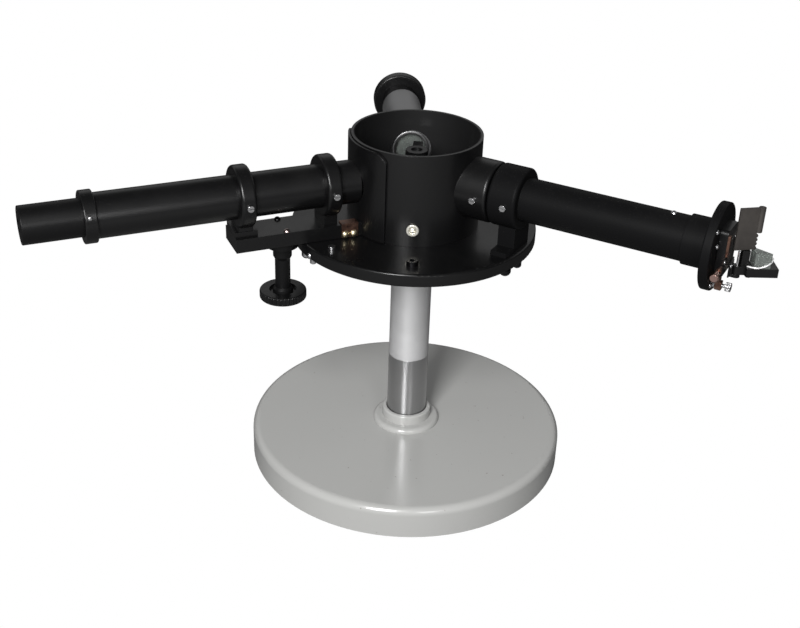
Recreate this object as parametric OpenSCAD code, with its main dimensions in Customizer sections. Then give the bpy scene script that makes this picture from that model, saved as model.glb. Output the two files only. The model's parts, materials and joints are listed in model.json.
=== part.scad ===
// Three-tube prism spectroscope on a round cast base.
// The origin is the middle of the base's underside, +Z is up and the maker's front is towards -Y.
// Three tubes look at the prism drum: the telescope on its swinging arm, the collimator with the slit
// and the scale tube. Inside each tube's own frame X runs outwards along the tube and Z is up.

/* [Base and pillar] */
// Radius of the round cast base
base_r = 100; // [85:1:115]
// Height of the base at its rim
base_h = 20; // [18:0.5:26]
// Radius of the rounded upper edge of the base
base_edge = 4.5; // [2:0.5:7]
// Radius of the low step round the pillar boss
step_r = 21.5; // [19:0.5:28]
// Height of the low step above the base
step_h = 3; // [2:0.5:4]
// Radius of the pillar boss
boss_r = 15.6; // [15:0.2:18]
// Height of the pillar boss above the base
boss_h = 9.3; // [6:0.5:14]
// Radius of the pillar, foot and tube alike
pillar_r = 12.6; // [12:0.1:14]
// Wall of the pillar tube
pillar_wall = 2; // [1.5:0.1:3]
// Height at which the polished foot ends and the pillar tube begins
foot_top = 69.5; // [55:0.5:90]
// Length of the pillar tube
pillar_l = 84.9; // [70:0.5:110]
// Open ring between the pillar foot and its boss
boss_gap = 0.6; // [0.3:0.1:1]

/* [Head] */
// Radius of the carrier disc
disc_r = 73.6; // [70:0.2:80]
// Thickness of the carrier disc
disc_t = 8; // [7:0.5:9]
// Radius of the rounded edges of the carrier disc
disc_edge = 1.2; // [0.5:0.1:2]
// Outer radius of the prism drum
drum_r = 38.7; // [37:0.1:40]
// Wall of the prism drum
drum_wall = 1.8; // [1.2:0.1:2.4]
// Height of the prism drum
drum_h = 55.8; // [52:0.2:62]
// Height of the optical axis above the carrier disc
axis_rise = 30.3; // [29:0.1:31]
// Height of the locating ring inside the foot of the drum
spigot_h = 14; // [12:0.5:16]
// Radial width of the locating ring
spigot_w = 3.5; // [2.5:0.1:4]

/* [Tubes] */
// Outer radius of all three tubes
tube_r = 12.7; // [12.2:0.1:13.2]
// Wall of the tubes
tube_wall = 1.2; // [1:0.1:1.5]
// Outer radius of the ring clamps and of the bosses on the drum
ring_r = 18; // [16.5:0.1:19]
// Length of a telescope ring clamp along the tube
ring_l = 9; // [8.5:0.5:10]
// Radius of the rounded edges of the ring clamps
ring_edge = 1.8; // [1:0.1:2.5]
// Running clearance between a draw tube and its tube, on the radius
draw_gap = 0.1; // [0.05:0.01:0.3]
// Radial thickness of the draw tubes of slit and scale
draw_wall = 1; // [0.8:0.1:1.4]

/* [Telescope] */
// Direction of the telescope, anticlockwise from +X
tele_ang = 204.3; // [198:0.1:212]
// Distance from the pillar axis to the inner end of the telescope tube
tele_in = 39; // [39:0.1:40]
// Distance from the pillar axis to the outer end of the telescope tube
tele_out = 191; // [180:0.5:200]
// Distance from the pillar axis to the middle of the inner ring clamp
ring_a = 56.5; // [56:0.5:59]
// Distance from the pillar axis to the middle of the outer ring clamp
ring_b = 107; // [104:0.5:107]
// Outer radius of the collar on the telescope tube
collar_r = 14.7; // [14:0.1:16]
// Length of the collar
collar_l = 7; // [5:0.5:9]
// Outer radius of the eyepiece tube
eye_r = 10.7; // [10:0.1:11.2]
// Length of eyepiece tube that stands out of the collar
eye_out = 32.3; // [26:0.1:36]
// Radius of the hole at the eye end
eye_hole = 4; // [3:0.5:6]

/* [Telescope arm] */
// Distance from the pillar axis to the outer end of the arm
arm_l = 113.7; // [113.5:0.1:118]
// Width of the arm
arm_w = 22; // [20.5:0.5:23]
// Thickness of the arm
arm_t = 8.3; // [7.5:0.1:9]
// Radius of the eye round the pivot
arm_eye = 13; // [11:0.5:14]
// Radius of the pivot journal
pivot_r = 8; // [6:0.5:9]
// Clearance under and over the arm
arm_gap = 0.3; // [0.2:0.05:0.4]
// Furthest swing of the arm to either side, in degrees
swing = 6.5; // [5:0.1:7]
// Half of the angle that the curved shield covers
shield_half = 41; // [38:0.5:44]
// Thickness of the shield
shield_t = 1.3; // [0.8:0.1:1.4]
// Gap between the shield and the drum
shield_gap = 0.4; // [0.3:0.05:0.6]
// Radius of the upper corners of the shield
shield_corner = 8; // [4:0.5:10]

/* [Drive] */
// Radius of the friction wheel that runs along the disc's rim
wheel_r = 9.4; // [8.6:0.1:11.1]
// Radius of the drive spindle
spindle_r = 4.5; // [4.3:0.1:5]
// Length of the spindle from its hub down to the knob
spindle_l = 20.2; // [12:0.1:30]
// Radius of the knurled knob
knob_r = 13.9; // [12:0.1:15]
// Height of the knurled knob
knob_h = 5.2; // [4:0.1:7]
// Height of the friction wheel
wheel_h = 3.9; // [3:0.1:4.5]

/* [Collimator] */
// Direction of the collimator, anticlockwise from +X
coll_ang = -27.5; // [-32:0.1:-24]
// Distance from the pillar axis to the outer end of the collimator tube
coll_out = 166; // [150:0.5:175]
// Distance from the pillar axis to the outer end of the drum's boss
boss_out = 53.6; // [52:0.1:54]
// Distance from the pillar axis to the middle of the post
post_at = 65.2; // [64.5:0.1:65.5]
// Length of the post's ring along the tube
post_ring_l = 17.4; // [16.5:0.1:17.6]
// Outer radius of the neck behind the slit flange
neck_r = 14; // [13.5:0.1:15]
// Length of the neck
neck_l = 13.2; // [10:0.1:18]
// Radius of the slit flange
flange_r = 24.2; // [23.8:0.1:26]
// Thickness of the slit flange
flange_t = 5.2; // [4:0.1:6]

/* [Slit head] */
// Half width of the slit plate
plate_a = 9; // [8.8:0.1:9.2]
// Half height of the slit plate
plate_b = 13.2; // [13.2:0.1:14]
// Thickness of the slit plate
plate_t = 4.5; // [4.2:0.1:4.8]
// Length of each jaw at right angles to the slit
jaw_w = 4.8; // [4:0.1:4.9]
// Half height of the jaws
jaw_b = 6.8; // [6.6:0.05:7]
// Thickness of the jaws
jaw_t = 1.35; // [1:0.05:1.6]
// Opening of the slit at rest
slit_w = 0.2; // [0.1:0.05:0.4]
// Travel of the moving jaw
jaw_travel = 1.3; // [1:0.1:1.35]
// Radius of the slit screw's rounded head
screw_head_r = 2.7; // [2.4:0.1:2.8]
// Distance of the pivot pin from the face of the slit plate
pin_out = 5.3; // [5.2:0.1:6]
// Angle between the prism arm and the tube, away from the front
prism_arm_turn = 30; // [20:1:34]
// Length of the prism arm beyond its pin
prism_arm_l = 21; // [20:0.5:24]
// Side of the comparison prism
side_prism = 8.8; // [8:0.1:9]

/* [Prism] */
// Side of the main prism's triangle
prism_side = 30; // [26:0.5:31]
// Height of the main prism
prism_h = 22; // [20:0.5:22]
// Radius of the prism table
table_r = 24; // [22:0.5:26]
// Thickness of the prism table
table_t = 3; // [2.5:0.5:4]
// Angle of the prism on its table
prism_turn = 28; // [0:1:60]

/* [Scale tube] */
// Direction of the scale tube, anticlockwise from +X
scale_ang = 95.8; // [90:0.1:104]
// Distance from the pillar axis to the outer end of the scale tube
scale_out = 113; // [100:0.5:125]
// Length of draw tube that stands out of the scale tube
scale_draw = 13.2; // [12:0.1:18]
// Outer radius of the scale cap
cap_r = 17.6; // [16:0.1:19]
// Length of the scale cap
cap_l = 8.1; // [6:0.1:10]

/* [Hidden] */
$fn = 96;
e = 0.01;
fit = 0.05;
seat = 0.3;
foot_z = 12;
thread_r = 8;
thread_l = 7;
bolt_r = 4;
disc_z = foot_top + pillar_l;
disc_top = disc_z + disc_t;
axis_z = disc_top + axis_rise;
drum_top = disc_top + drum_h;
drum_in = drum_r - drum_wall;
arm_z = disc_top + arm_gap;
arm_top = arm_z + arm_t;
journal_top = arm_top + arm_gap;
shield_in = drum_r + shield_gap;
shield_out = shield_in + shield_t;
shield_top = drum_top - 0.7;
slot_half = asin(arm_w / 2 / drum_in) + swing + 1.5;
spigot_out = drum_in - fit;
spigot_in = spigot_out - spigot_w;
spigot_half = asin(arm_w / 2 / spigot_in) + swing + 1.5;
low_screw_r = 70.2;
low_screw_head = 3.4;
low_screw_h = 4.4;
top_screw_r = 2.2;
top_screw_at = 64.6;
top_screw_half = asin(arm_w / 2 / top_screw_at) + asin(top_screw_r / top_screw_at) + swing + 1.7;
drum_screw_z = disc_top + 11;
stud_l = 18;
tube_in = tube_r - tube_wall;
draw_r = tube_in - draw_gap;
ring_bore = tube_r + fit;
drive_at = disc_r + seat + wheel_r;
disc_screw_at = 60.7;
wheel_top = arm_z - seat;
wheel_z = wheel_top - wheel_h;
hub_z = disc_z - 4.4;
knob_z = hub_z - spindle_l - knob_h;
journal_r = 3;
bush_r = 6;
flange_at = coll_out + seat + neck_l;
plate_at = flange_at + flange_t;
jaw_at = plate_at + plate_t;
jaw_face = jaw_at + fit + jaw_t;
rail_b = jaw_b + 0.2;
rail_face = jaw_at + jaw_t + 0.4;
screw_t = plate_at + screw_head_r + 0.25;
screw_b = -9.4;
lug_out = jaw_w + 1;
screw_r = 0.9;
bush_l = 2.5;
head_out = 15.2;
pin_at = jaw_at + pin_out;
pin_r = 0.75;
arm_screw_a = 8.8;
rim_screw_z = disc_z + 2;
rim_screw_ang = tele_ang + 11.6;
arm_knob_at = 6.8;
shelf_b = -8;
shelf_t = 4.9;
tongue_b = shelf_b - shelf_t - 0.2;
adjust_a = 7;
adjust_b = 18.6;
table_z = journal_top + 3.6;
prism_z = table_z + table_t;
prism_top = prism_z + prism_h;
bridge_z = prism_top + 1.6;
bridge_t = 2.2;
clamp_at = 0;
post_t = 10.5;
boss_screw_at = 46.2;
ring_screw_r = 1.9;
foot_h = 3;
scale_cap_at = scale_out + scale_draw;
lens_t = 3;
enamel = [0.12, 0.12, 0.13];
silver = [0.8, 0.8, 0.82];
steel = [0.6, 0.6, 0.62];
copper = [0.55, 0.4, 0.33];
brass = [0.85, 0.72, 0.4];
glass = [0.75, 0.88, 0.9, 0.6];
base_grey = [0.66, 0.66, 0.65];

// Places things in a tube's frame: X outwards along the tube from the pillar axis, Z up
module on_tube(ang, at = 0) {
    translate([0, 0, axis_z])
        rotate([0, 0, ang])
            translate([at, 0, 0])
                children();
}

// Solid round bar along X
module bar(r, l) {
    rotate([0, 90, 0])
        cylinder(r = r, h = l);
}

// Tube along X
module pipe(ro, ri, l) {
    difference() {
        bar(ro, l);
        translate([-e, 0, 0])
            bar(ri, l + 2 * e);
    }
}

// Rectangle with rounded corners on the chosen side, measured from its lower inner corner
module soft_rect(w, h, r, low = true) {
    r0 = min(r, w / 2 - e, h / 2 - e);
    difference() {
        square([w, h]);
        translate([w - r0, h - r0])
            square([r0 + e, r0 + e]);
        if (low)
            translate([w - r0, -e])
                square([r0 + e, r0 + e]);
    }
    translate([w - r0, h - r0])
        circle(r = r0);
    if (low)
        translate([w - r0, r0])
            circle(r = r0);
}

// Ring along X with rounded outer edges
module soft_ring(ro, ri, l, edge) {
    rotate([0, 90, 0])
        rotate_extrude()
            difference() {
                soft_rect(ro, l, edge);
                translate([-e, -e])
                    square([ri + e, l + 2 * e]);
            }
}

// Lens with both faces curved, on the X axis, thickest at its middle
module lens(r, thick, bow) {
    ball = (r * r + bow * bow) / (2 * bow);
    rotate([0, 90, 0])
        rotate_extrude()
            intersection() {
                square([r, thick]);
                translate([0, ball])
                    circle(r = ball, $fn = 720);
                translate([0, thick - ball])
                    circle(r = ball, $fn = 720);
            }
}

// Round wedge that covers the angle from -half to half about the X axis, from z0 to z1
module wedge(half, r, z0, z1) {
    reach = 1.5 * r;
    translate([0, 0, z0])
        linear_extrude(height = z1 - z0)
            polygon([
                [0, 0],
                [reach * cos(half), -reach * sin(half)],
                [reach * 1.2, 0],
                [reach * cos(half), reach * sin(half)]
            ]);
}

// Slotted screw that stands on z = 0 with its shank below
module slotted_screw(head_r, head_h, shank_r, shank_l, slot = 0.8) {
    difference() {
        union() {
            cylinder(r = head_r, h = head_h);
            translate([0, 0, -shank_l])
                cylinder(r = shank_r, h = shank_l + e);
        }
        translate([-head_r, -slot / 2, head_h - slot])
            cube([2 * head_r, slot, head_h]);
    }
}

// Round-headed screw that stands on z = 0 with its shank below
module domed_screw(head_r, head_h, shank_r, shank_l) {
    ball = (head_r * head_r + head_h * head_h) / (2 * head_h);
    intersection() {
        cylinder(r = head_r, h = head_h);
        translate([0, 0, head_h - ball])
            sphere(r = ball);
    }
    translate([0, 0, -shank_l])
        cylinder(r = shank_r, h = shank_l + e);
}

// Socket-head screw that stands on z = 0 with its shank below
module socket_screw(head_r, head_h, shank_r, shank_l, key) {
    difference() {
        union() {
            cylinder(r = head_r, h = head_h);
            translate([0, 0, -shank_l])
                cylinder(r = shank_r, h = shank_l + e);
        }
        translate([0, 0, head_h * 0.4])
            cylinder(r = key, h = head_h, $fn = 6);
    }
}

module base() {
    color(base_grey)
        difference() {
            union() {
                rotate_extrude()
                    soft_rect(base_r, base_h, base_edge, low = false);
                rotate_extrude()
                    soft_rect(step_r, base_h + step_h, step_h * 0.9, low = false);
                rotate_extrude()
                    soft_rect(boss_r, base_h + boss_h, 1.2, low = false);
            }
            translate([0, 0, foot_z])
                cylinder(r = pillar_r + boss_gap, h = base_h + boss_h);
            translate([0, 0, foot_z - thread_l])
                cylinder(r = thread_r + fit, h = foot_z);
        }
}

module pillar_foot() {
    spigot_l = 24;
    color(steel)
        union() {
            translate([0, 0, foot_z - thread_l + seat])
                cylinder(r = thread_r, h = thread_l);
            translate([0, 0, foot_z])
                cylinder(r = pillar_r + fit, h = foot_top - foot_z);
            translate([0, 0, foot_top - e])
                cylinder(r = pillar_r - pillar_wall - fit, h = spigot_l);
        }
}

module pillar_tube() {
    color([0.75, 0.75, 0.76])
        translate([0, 0, foot_top])
            difference() {
                cylinder(r = pillar_r, h = pillar_l);
                translate([0, 0, -e])
                    cylinder(r = pillar_r - pillar_wall, h = pillar_l + 2 * e);
            }
}

module pillar_plug() {
    plug_l = 22;
    color(steel)
        difference() {
            translate([0, 0, disc_z - plug_l])
                cylinder(r = pillar_r - pillar_wall - fit, h = plug_l);
            translate([0, 0, disc_z - plug_l - e])
                cylinder(r = bolt_r + fit, h = plug_l + 2 * e);
        }
}

// Puts children at every screw place under the disc and hands them the head's radius
module each_under_screw() {
    for (k = [[coll_ang - 12.8, 3.4], [coll_ang - 2.1, 2.6], [tele_ang + 3.8, 2.9], [tele_ang + 10.9, 1.9]])
        rotate([0, 0, k[0]])
            translate([low_screw_r, 0, 0]) {
                $head = k[1];
                children();
            }
}

module carrier_disc() {
    color(enamel)
        difference() {
            union() {
                translate([0, 0, disc_z])
                    rotate_extrude()
                        soft_rect(disc_r, disc_t, disc_edge);
                translate([0, 0, disc_top - e])
                    cylinder(r = spigot_out, h = spigot_h);
            }
            translate([0, 0, disc_top])
                cylinder(r = spigot_in, h = spigot_h + 1);
            translate([0, 0, disc_z - 1])
                cylinder(r = bolt_r + 0.1, h = disc_t + 2);
            rotate([0, 0, tele_ang])
                wedge(spigot_half, drum_r, disc_top, disc_top + spigot_h + 1);
            for (a = [269.2, 29.2, 149.2])
                translate([0, 0, drum_screw_z])
                    rotate([0, 0, a])
                        translate([spigot_in - 1, 0, 0])
                            bar(1.9, spigot_w + 2);
            translate([0, 0, disc_z - 1])
                each_under_screw()
                    cylinder(r = 1.55, h = disc_t - 1);
            for (s = [-1, 1])
                rotate([0, 0, tele_ang + s * top_screw_half])
                    translate([top_screw_at, 0, disc_z + 2])
                        cylinder(r = 1.6, h = disc_t);
            rotate([0, 0, rim_screw_ang])
                translate([low_screw_r + 1.7, 0, rim_screw_z])
                    bar(1.1, 9);
            translate([0, -disc_screw_at, disc_z - 1])
                cylinder(r = 2.1, h = disc_t + 2);
        }
}

// Inside of the drum, from its foot upwards
module drum_bore() {
    translate([0, 0, disc_top - 1])
        cylinder(r = drum_in, h = drum_h + 2);
}

module drum() {
    color(enamel)
        difference() {
            union() {
                difference() {
                    union() {
                        translate([0, 0, disc_top])
                            cylinder(r = drum_r, h = drum_h);
                        on_tube(coll_ang, drum_in - 4)
                            soft_ring(ring_r, 1, boss_out - drum_in + 4, ring_edge);
                        on_tube(scale_ang, drum_in - 4)
                            soft_ring(ring_r - 1, 1, 17, ring_edge);
                    }
                    drum_bore();
                }
            }
            on_tube(coll_ang, 20)
                bar(ring_bore, 50);
            on_tube(scale_ang, 20)
                bar(ring_bore, 50);
            rotate([0, 0, tele_ang])
                wedge(slot_half, drum_r, disc_top - 1, axis_z + tube_r + 0.8);
            for (a = [269.2, 29.2, 149.2])
                translate([0, 0, drum_screw_z])
                    rotate([0, 0, a])
                        translate([drum_in - 1, 0, 0])
                            bar(2.1, drum_wall + 2);
            on_tube(coll_ang, boss_screw_at)
                rotate([90, 0, 0])
                    cylinder(r = 1.6, h = ring_r + 1);
        }
}

module drum_screws() {
    color(silver)
        for (a = [269.2, 29.2, 149.2])
            translate([0, 0, drum_screw_z])
                rotate([0, 0, a])
                    translate([drum_r + 0.5, 0, 0])
                        rotate([0, 90, 0])
                            difference() {
                                domed_screw(2, 1.3, 1.5, drum_wall + spigot_w);
                                translate([-0.3, -2.5, 0.7])
                                    cube([0.6, 5, 2]);
                            }
}

module drum_cups() {
    color(silver)
        for (a = [269.2, 29.2, 149.2])
            translate([0, 0, drum_screw_z])
                rotate([0, 0, a])
                    translate([drum_r + 0.02, 0, 0])
                        difference() {
                            soft_ring(3.7, 1.6, 1.5, 0.5);
                            translate([0.46, 0, 0])
                                bar(2.3, 2);
                        }
}

module disc_screw() {
    color([0.2, 0.2, 0.22])
        translate([0, -disc_screw_at, disc_top])
            socket_screw(3.3, 2.6, 2, disc_t, 1.6);
}

module under_screws() {
    color(silver)
        translate([0, 0, disc_z])
            each_under_screw()
                mirror([0, 0, 1])
                    domed_screw($head, low_screw_h, 1.5, disc_t - 3);
}

// Two screws in the disc's top, one on each side of the arm, and one in the disc's rim
module stop_screws() {
    color(silver) {
        for (s = [-1, 1])
            rotate([0, 0, tele_ang + s * top_screw_half])
                translate([top_screw_at, 0, disc_top])
                    slotted_screw(top_screw_r, 1.9, 1.5, disc_t - 3, 0.6);
        rotate([0, 0, rim_screw_ang])
            translate([disc_r + 0.02, 0, rim_screw_z])
                rotate([0, 90, 0])
                    domed_screw(1.9, 1.2, 1, disc_r - low_screw_r - 1.9);
    }
}

module pivot_stud() {
    color(steel)
        union() {
            translate([0, 0, disc_z - stud_l])
                cylinder(r = bolt_r, h = disc_t + stud_l + e);
            translate([0, 0, disc_top])
                cylinder(r = pivot_r, h = journal_top - disc_top);
            translate([0, 0, journal_top - e])
                cylinder(r = bolt_r, h = prism_z - journal_top);
        }
}

module prism_table() {
    color(enamel)
        difference() {
            union() {
                translate([0, 0, journal_top])
                    cylinder(r = 9, h = table_z - journal_top + e);
                translate([0, 0, table_z])
                    rotate_extrude()
                        soft_rect(table_r, table_t, 0.8);
            }
            translate([0, 0, journal_top - 1])
                cylinder(r = bolt_r + fit, h = prism_z - journal_top + 2);
        }
}

// Plan of the main prism: an equal-sided triangle about its middle
module prism_plan() {
    rotate([0, 0, prism_turn])
        circle(r = prism_side / sqrt(3), $fn = 3);
}

module prism() {
    color(glass)
        translate([0, 0, prism_z])
            linear_extrude(height = prism_h)
                prism_plan();
}

module clamp_bridge() {
    post_r = 2;
    post_at_r = table_r - 3;
    color(enamel)
        rotate([0, 0, prism_turn + 60])
            difference() {
                union() {
                    for (s = [0, 1])
                        rotate([0, 0, s * 120])
                            translate([post_at_r, 0, prism_z])
                                cylinder(r = post_r, h = bridge_z - prism_z + e);
                    for (s = [0, 1])
                        rotate([0, 0, s * 120])
                            translate([0, -3, bridge_z])
                                cube([post_at_r + post_r, 6, bridge_t]);
                    translate([0, 0, bridge_z])
                        cylinder(r = 6, h = bridge_t);
                }
                translate([0, 0, bridge_z - 1])
                    cylinder(r = 2.05, h = bridge_t + 2);
            }
}

module clamp_screw() {
    head_r = 6.6;
    head_h = 3.4;
    head_z = bridge_z + bridge_t + seat;
    color([0.25, 0.25, 0.27])
        difference() {
            union() {
                translate([0, 0, prism_top + seat])
                    cylinder(r = 2, h = head_z - prism_top);
                translate([0, 0, head_z])
                    cylinder(r = head_r, h = head_h);
            }
            translate([0, 0, head_z + head_h - 1.2])
                cylinder(r = 3.4, h = 2);
            for (k = [0:29])
                rotate([0, 0, k * 12])
                    translate([head_r + 0.15, 0, head_z - 1])
                        cylinder(r = 0.45, h = head_h + 2);
        }
}

// Ring clamp with its post, in a tube's frame, centred at x = 0; foot gives the post's lower end
module clamp_body(l, post_l, post_w, foot) {
    difference() {
        union() {
            translate([-l / 2, 0, 0])
                soft_ring(ring_r, 1, l, ring_edge);
            translate([-post_l / 2, -post_w / 2, foot])
                cube([post_l, post_w, -foot - ring_r * 0.6]);
        }
        translate([-l, 0, 0])
            bar(ring_bore, 2 * l);
    }
}

module collimator_post() {
    ear_y = 19;
    ring_at = boss_out + 0.7;
    color(enamel)
        difference() {
            union() {
                on_tube(coll_ang, ring_at)
                    soft_ring(ring_r, 1, post_ring_l, ring_edge);
                on_tube(coll_ang, post_at)
                    translate([-post_t / 2, -10, -axis_rise])
                        cube([post_t, 20, axis_rise - ring_r * 0.6]);
                intersection() {
                    on_tube(coll_ang, post_at)
                        translate([-post_t / 2, -ear_y, -axis_rise])
                            cube([post_t, ear_y + 10, foot_h]);
                    translate([0, 0, disc_top])
                        cylinder(r = disc_r - 1.5, h = foot_h);
                }
            }
            on_tube(coll_ang, ring_at - 1)
                bar(ring_bore, post_ring_l + 2);
            on_tube(coll_ang, post_at)
                rotate([90, 0, 0])
                    cylinder(r = 1.6, h = ring_r + 1);
        }
}

module collimator_tube() {
    color(enamel)
        difference() {
            on_tube(coll_ang, drum_in + 1.5)
                pipe(tube_r, tube_in, coll_out - drum_in - 1.5);
            on_tube(coll_ang, coll_out - 9.4)
                cylinder(r = 1, h = 30);
        }
}

module collimator_lens() {
    color(glass)
        on_tube(coll_ang, drum_in + 4)
            lens(tube_in - fit, lens_t, 1.1);
}

module collimator_screws() {
    color(silver) {
        for (at = [boss_screw_at, post_at])
            on_tube(coll_ang, at)
                rotate([90, 0, 0])
                    translate([0, 0, ring_r + 0.02])
                        slotted_screw(ring_screw_r, 1.6, 1.5, ring_r - tube_r - 0.6, 0.6);
        on_tube(coll_ang, coll_out - 9.4)
            translate([0, 0, tube_r + 0.02])
                domed_screw(1.8, 1.4, 0.95, tube_wall - 0.2);
    }
}

module slit_tube() {
    draw_l = 36;
    neck_in = 10.4;
    color(enamel)
        on_tube(coll_ang)
            difference() {
                union() {
                    translate([coll_out - draw_l, 0, 0])
                        bar(draw_r, draw_l + 1);
                    translate([coll_out + seat, 0, 0])
                        bar(neck_r, neck_l);
                }
                translate([coll_out - draw_l - 1, 0, 0])
                    bar(draw_r - draw_wall, draw_l + neck_l + 3);
            }
}

module slit_flange() {
    color(enamel)
        on_tube(coll_ang)
            difference() {
                translate([flange_at, 0, 0])
                    soft_ring(flange_r, neck_r - 3.6, flange_t, 0.8);
                for (k = flange_screw_places())
                    translate([plate_at - 3, k[0], k[1]])
                        bar(0.85, 4);
            }
}

// Places of the flange screws as y and z in the collimator's frame
function flange_screw_places() = [
    for (a = [137, 17, 236.4])
        [(flange_r - 2.6) * cos(a), (flange_r - 2.6) * sin(a)],
    [-11, 4.5],
    [11, 4.5]
];

module flange_screws() {
    color(silver)
        on_tube(coll_ang) {
            for (k = flange_screw_places())
                translate([plate_at, k[0], k[1]])
                    rotate([0, 90, 0])
                        domed_screw(1.4, 1.1, 0.8, 2.8);
            translate([jaw_at + 0.02, 1.1 - plate_a, -4.6])
                rotate([0, 90, 0])
                    domed_screw(1.2, 1, 0.6, 1.8);
        }
}

module slit_plate() {
    corner = 2.4;
    color(enamel)
        on_tube(coll_ang)
            difference() {
                translate([plate_at, 0, 0])
                    rotate([90, 0, 90])
                        linear_extrude(height = plate_t)
                            union() {
                                square([2 * plate_a, 2 * (plate_b - corner)], center = true);
                                square([2 * (plate_a - corner), 2 * plate_b], center = true);
                                for (s = [-1, 1])
                                    for (u = [-1, 1])
                                        translate([s * (plate_a - corner), u * (plate_b - corner)])
                                            circle(r = corner);
                            }
                translate([plate_at - 1, -3, -6.5])
                    cube([plate_t + 2, 6, 13]);
                translate([plate_at + 1.2, -lug_out - jaw_travel - 0.4, screw_b - 1.7])
                    cube([plate_t, lug_out + jaw_travel - 2, -jaw_b + 1 - screw_b + 1.7]);
                translate([screw_t, 0, screw_b])
                    rotate([90, 0, 0])
                        cylinder(r = screw_r + fit, h = plate_a + 1);
                translate([jaw_at - 2, 1.1 - plate_a, -4.6])
                    bar(0.65, 3);
            }
}

module jaw_rails() {
    rail_w = 2;
    color(steel)
        on_tube(coll_ang)
            for (u = [0, 1])
                mirror([0, 0, u])
                    translate([jaw_at, -jaw_w - jaw_travel, rail_b])
                        cube([rail_face - jaw_at, 2 * jaw_w + jaw_travel + 2, rail_w]);
}

// Flat copper spring at the edge of the slit plate
module jaw_spring() {
    color(copper)
        on_tube(coll_ang)
            translate([jaw_at, 0.1 - plate_a, -1])
                cube([jaw_t, plate_a - 0.1 - jaw_w - jaw_travel - 0.3, 11.6]);
}

// Plan of a jaw seen from above: x outwards from the plate, y away from the slit's middle
module jaw(w) {
    knife = 0.9;
    linear_extrude(height = 2 * jaw_b, center = true)
        polygon([
            [0, 0],
            [0.35, 0],
            [jaw_t, knife],
            [jaw_t, w],
            [0, w]
        ]);
}

module fixed_jaw() {
    color(silver)
        on_tube(coll_ang, jaw_at + fit)
            translate([0, slit_w / 2, 0])
                jaw(jaw_w);
}

module sliding_jaw() {
    lug_w = 2.4;
    lug_z = -jaw_b + 0.8;
    color(steel)
        on_tube(coll_ang)
            difference() {
                union() {
                    translate([jaw_at + fit, -slit_w / 2, 0])
                        mirror([0, 1, 0])
                            jaw(jaw_w);
                    translate([plate_at + 1.4, -lug_out, screw_b - 1.5])
                        cube([plate_t - 1.6, lug_w, lug_z - screw_b + 1.5]);
                    translate([jaw_at - 0.3, -lug_out, -jaw_b])
                        cube([0.55, lug_w, 0.8]);
                }
                translate([screw_t, 0, screw_b])
                    rotate([90, 0, 0])
                        cylinder(r = screw_r + fit, h = 20);
            }
}

module screw_bush() {
    color(copper)
        on_tube(coll_ang)
            translate([screw_t, -plate_a, screw_b])
                rotate([90, 0, 0])
                    difference() {
                        cylinder(r = 1.6, h = bush_l);
                        translate([0, 0, -1])
                            cylinder(r = screw_r + fit, h = bush_l + 2);
                    }
}

module slit_screw() {
    head_l = 4.8;
    color([0.7, 0.5, 0.45])
        on_tube(coll_ang)
            translate([screw_t, -head_out, screw_b])
                rotate([90, 0, 0])
                    union() {
                        translate([0, 0, 3 - head_out])
                            cylinder(r = screw_r, h = head_out - 3 + e);
                        translate([0, 0, -1.6])
                            cylinder(r = 1.7, h = 1.6 + e);
                        intersection() {
                            cylinder(r = screw_head_r, h = head_l);
                            translate([0, 0, head_l / 2])
                                sphere(r = screw_head_r + 0.4);
                        }
                    }
}

module adjusting_tab() {
    color(copper)
        on_tube(coll_ang)
            difference() {
                union() {
                    translate([plate_at + 2.1, -adjust_a - 1.2, -adjust_b])
                        cube([2, 2.4, adjust_b - plate_b]);
                    translate([plate_at + 1.5, -adjust_a - 1.8, -adjust_b - 2.4])
                        cube([3.6, 3.6, 4.7]);
                }
                translate([plate_at + 1, -adjust_a, -adjust_b])
                    bar(1.05, 8);
            }
}

module adjusting_screw() {
    head_l = 2.8;
    head_r = 2.45;
    head_at = rail_face + 1;
    color(silver)
        on_tube(coll_ang)
            translate([0, -adjust_a, -adjust_b])
                difference() {
                    union() {
                        translate([plate_at + 0.1, 0, 0])
                            bar(1, head_at - plate_at);
                        translate([head_at, 0, 0])
                            bar(head_r, head_l);
                        translate([plate_at + 0.1, 0, 0])
                            rotate([0, 90, 0])
                                cylinder(r = 2.1, h = 1.2, $fn = 6);
                    }
                    for (k = [0:15])
                        rotate([k * 22.5, 0, 0])
                            translate([head_at - 1, 0, head_r + 0.1])
                                bar(0.32, head_l + 2);
                }
}

// Bracket on the lower rail, with the tongue that carries the pivot pin
module pin_bracket() {
    plate = 0.8;
    color(enamel)
        on_tube(coll_ang)
            difference() {
                union() {
                    translate([rail_face, -3.8, tongue_b - 1.8])
                        cube([plate, 8, -rail_b - tongue_b + 1.8]);
                    translate([rail_face, -2.2, tongue_b - 1.8])
                        cube([pin_at - rail_face, 4.4, 1.8]);
                    translate([pin_at, 0, tongue_b - 1.8])
                        cylinder(r = 2.2, h = 1.8);
                }
                translate([pin_at, 0, tongue_b - 3])
                    cylinder(r = pin_r, h = 5);
                translate([rail_face - 1, -2.6, -8.4])
                    bar(0.65, 3);
            }
}

module pivot_pin() {
    color(silver)
        on_tube(coll_ang) {
            translate([pin_at, 0, tongue_b - 1.8])
                cylinder(r = pin_r, h = -tongue_b + 1.8 + 0.2);
            translate([rail_face + 0.82, -2.6, -8.4])
                rotate([0, 90, 0])
                    domed_screw(1.3, 1, 0.6, 0.8);
            translate([rail_face, 0, rail_b + 1])
                bar(0.75, 1.6);
        }
}

// Places things in the prism arm's frame: X outwards along the arm from its pin
module on_prism_arm() {
    on_tube(coll_ang, pin_at)
        rotate([0, 0, prism_arm_turn])
            children();
}

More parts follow.
